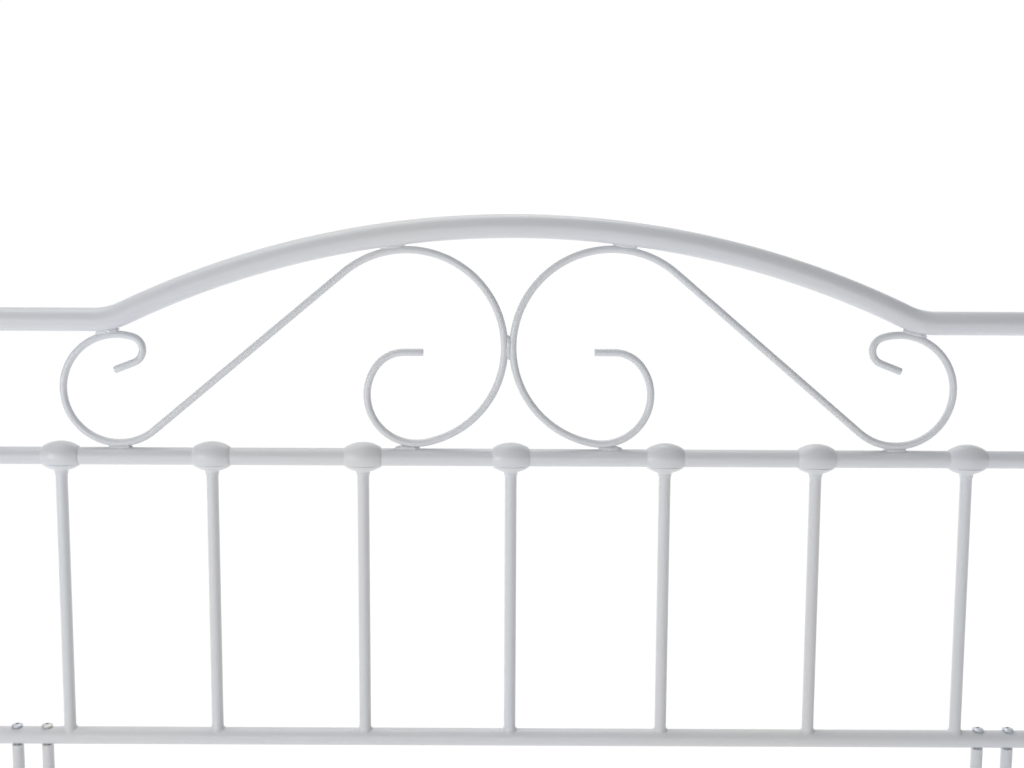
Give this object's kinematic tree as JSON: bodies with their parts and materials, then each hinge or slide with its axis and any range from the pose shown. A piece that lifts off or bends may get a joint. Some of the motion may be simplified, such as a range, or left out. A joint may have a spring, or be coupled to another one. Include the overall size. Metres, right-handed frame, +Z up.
{
  "type": "daybed",
  "caption": "White tubular-steel daybed with an arched, scrolled and spindled back, sloping scrolled arms, a slatted deck and screw feet",
  "frame": {"origin": "on the floor under the middle of the bed", "axes": "+X along the bed to the right as seen from the open front, +Y to the back panel, +Z up"},
  "size_m": [1.988, 1.0468, 1.0935],
  "materials": {
    "white_powder_coat": "satin white powder coat",
    "bright_zinc": "bright zinc plate",
    "black_nylon": "moulded black nylon",
    "white_plastic": "moulded white plastic"
  },
  "bodies": {
    "bed_frame": {"arm_bolts": "bright_zinc", "arm_rail_inserts": "bright_zinc", "back_lower_rail": "white_powder_coat", "back_middle_rail": "white_powder_coat", "back_scroll_left": "white_powder_coat", "back_scroll_right": "white_powder_coat", "back_spindle_01": "white_powder_coat", "back_spindle_02": "white_powder_coat", "back_spindle_03": "white_powder_coat", "back_spindle_04": "white_powder_coat", "back_spindle_05": "white_powder_coat", "back_spindle_06": "white_powder_coat", "back_spindle_07": "white_powder_coat", "back_spindle_08": "white_powder_coat", "back_spindle_09": "white_powder_coat", "back_spindle_10": "white_powder_coat", "back_spindle_11": "white_powder_coat", "back_top_rail": "white_powder_coat", "centre_leg": "white_powder_coat", "deck_bolts": "bright_zinc", "deck_centre_rail": "white_powder_coat", "deck_front_angle": "white_powder_coat", "deck_left_angle": "white_powder_coat", "deck_nuts": "bright_zinc", "deck_rear_angle": "white_powder_coat", "deck_right_angle": "white_powder_coat", "deck_screws": "bright_zinc", "deck_slat_caps": "black_nylon", "deck_slats": "white_powder_coat", "deck_spacers": "bright_zinc", "foot_inserts": "black_nylon", "front_left_post": "white_powder_coat", "front_right_post": "white_powder_coat", "left_arm_lower_rail": "white_powder_coat", "left_arm_middle_rail": "white_powder_coat", "left_arm_scroll": "white_powder_coat", "left_arm_spindles": "white_powder_coat", "left_arm_top_rail": "white_powder_coat", "leg_glides": "black_nylon", "post_finials": "white_plastic", "rear_left_post": "white_powder_coat", "rear_right_post": "white_powder_coat", "right_arm_lower_rail": "white_powder_coat", "right_arm_middle_rail": "white_powder_coat", "right_arm_scroll": "white_powder_coat", "right_arm_spindles": "white_powder_coat", "right_arm_top_rail": "white_powder_coat", "scroll_welds": "white_powder_coat", "spindle_knuckles": "white_powder_coat", "support_leg_left": "white_powder_coat", "support_leg_right": "white_powder_coat", "support_screws": "bright_zinc"},
    "front_left_pad": {"front_left_foot_pad": "black_nylon"},
    "front_left_stem": {"front_left_foot_stem": "bright_zinc"},
    "front_right_pad": {"front_right_foot_pad": "black_nylon"},
    "front_right_stem": {"front_right_foot_stem": "bright_zinc"},
    "rear_left_pad": {"rear_left_foot_pad": "black_nylon"},
    "rear_left_stem": {"rear_left_foot_stem": "bright_zinc"},
    "rear_right_pad": {"rear_right_foot_pad": "black_nylon"},
    "rear_right_stem": {"rear_right_foot_stem": "bright_zinc"}
  },
  "joints": [
    {"name": "front_left_foot_height", "type": "slide", "parent": "bed_frame", "child": "front_left_pad", "axis": [0, 0, -1], "range_m": [0, 0.012]},
    {"name": "front_left_stem_turn", "type": "hinge", "parent": "front_left_pad", "child": "front_left_stem", "pos_m": [-0.975, -0.5, 0.012], "axis": [0, 0, -1], "range_deg": [0, 3456]},
    {"name": "front_right_foot_height", "type": "slide", "parent": "bed_frame", "child": "front_right_pad", "axis": [0, 0, -1], "range_m": [0, 0.012]},
    {"name": "front_right_stem_turn", "type": "hinge", "parent": "front_right_pad", "child": "front_right_stem", "pos_m": [0.975, -0.5, 0.012], "axis": [0, 0, -1], "range_deg": [0, 3456]},
    {"name": "rear_left_foot_height", "type": "slide", "parent": "bed_frame", "child": "rear_left_pad", "axis": [0, 0, -1], "range_m": [0, 0.012]},
    {"name": "rear_left_stem_turn", "type": "hinge", "parent": "rear_left_pad", "child": "rear_left_stem", "pos_m": [-0.975, 0.5, 0.012], "axis": [0, 0, -1], "range_deg": [0, 3456]},
    {"name": "rear_right_foot_height", "type": "slide", "parent": "bed_frame", "child": "rear_right_pad", "axis": [0, 0, -1], "range_m": [0, 0.012]},
    {"name": "rear_right_stem_turn", "type": "hinge", "parent": "rear_right_pad", "child": "rear_right_stem", "pos_m": [0.975, 0.5, 0.012], "axis": [0, 0, -1], "range_deg": [0, 3456]}
  ],
  "couplings": [
    {"joint": "front_left_stem_turn", "follows": "front_left_foot_height", "rad_per_m": 5026.5},
    {"joint": "front_right_stem_turn", "follows": "front_right_foot_height", "rad_per_m": 5026.5},
    {"joint": "rear_left_stem_turn", "follows": "rear_left_foot_height", "rad_per_m": 5026.5},
    {"joint": "rear_right_stem_turn", "follows": "rear_right_foot_height", "rad_per_m": 5026.5}
  ]
}
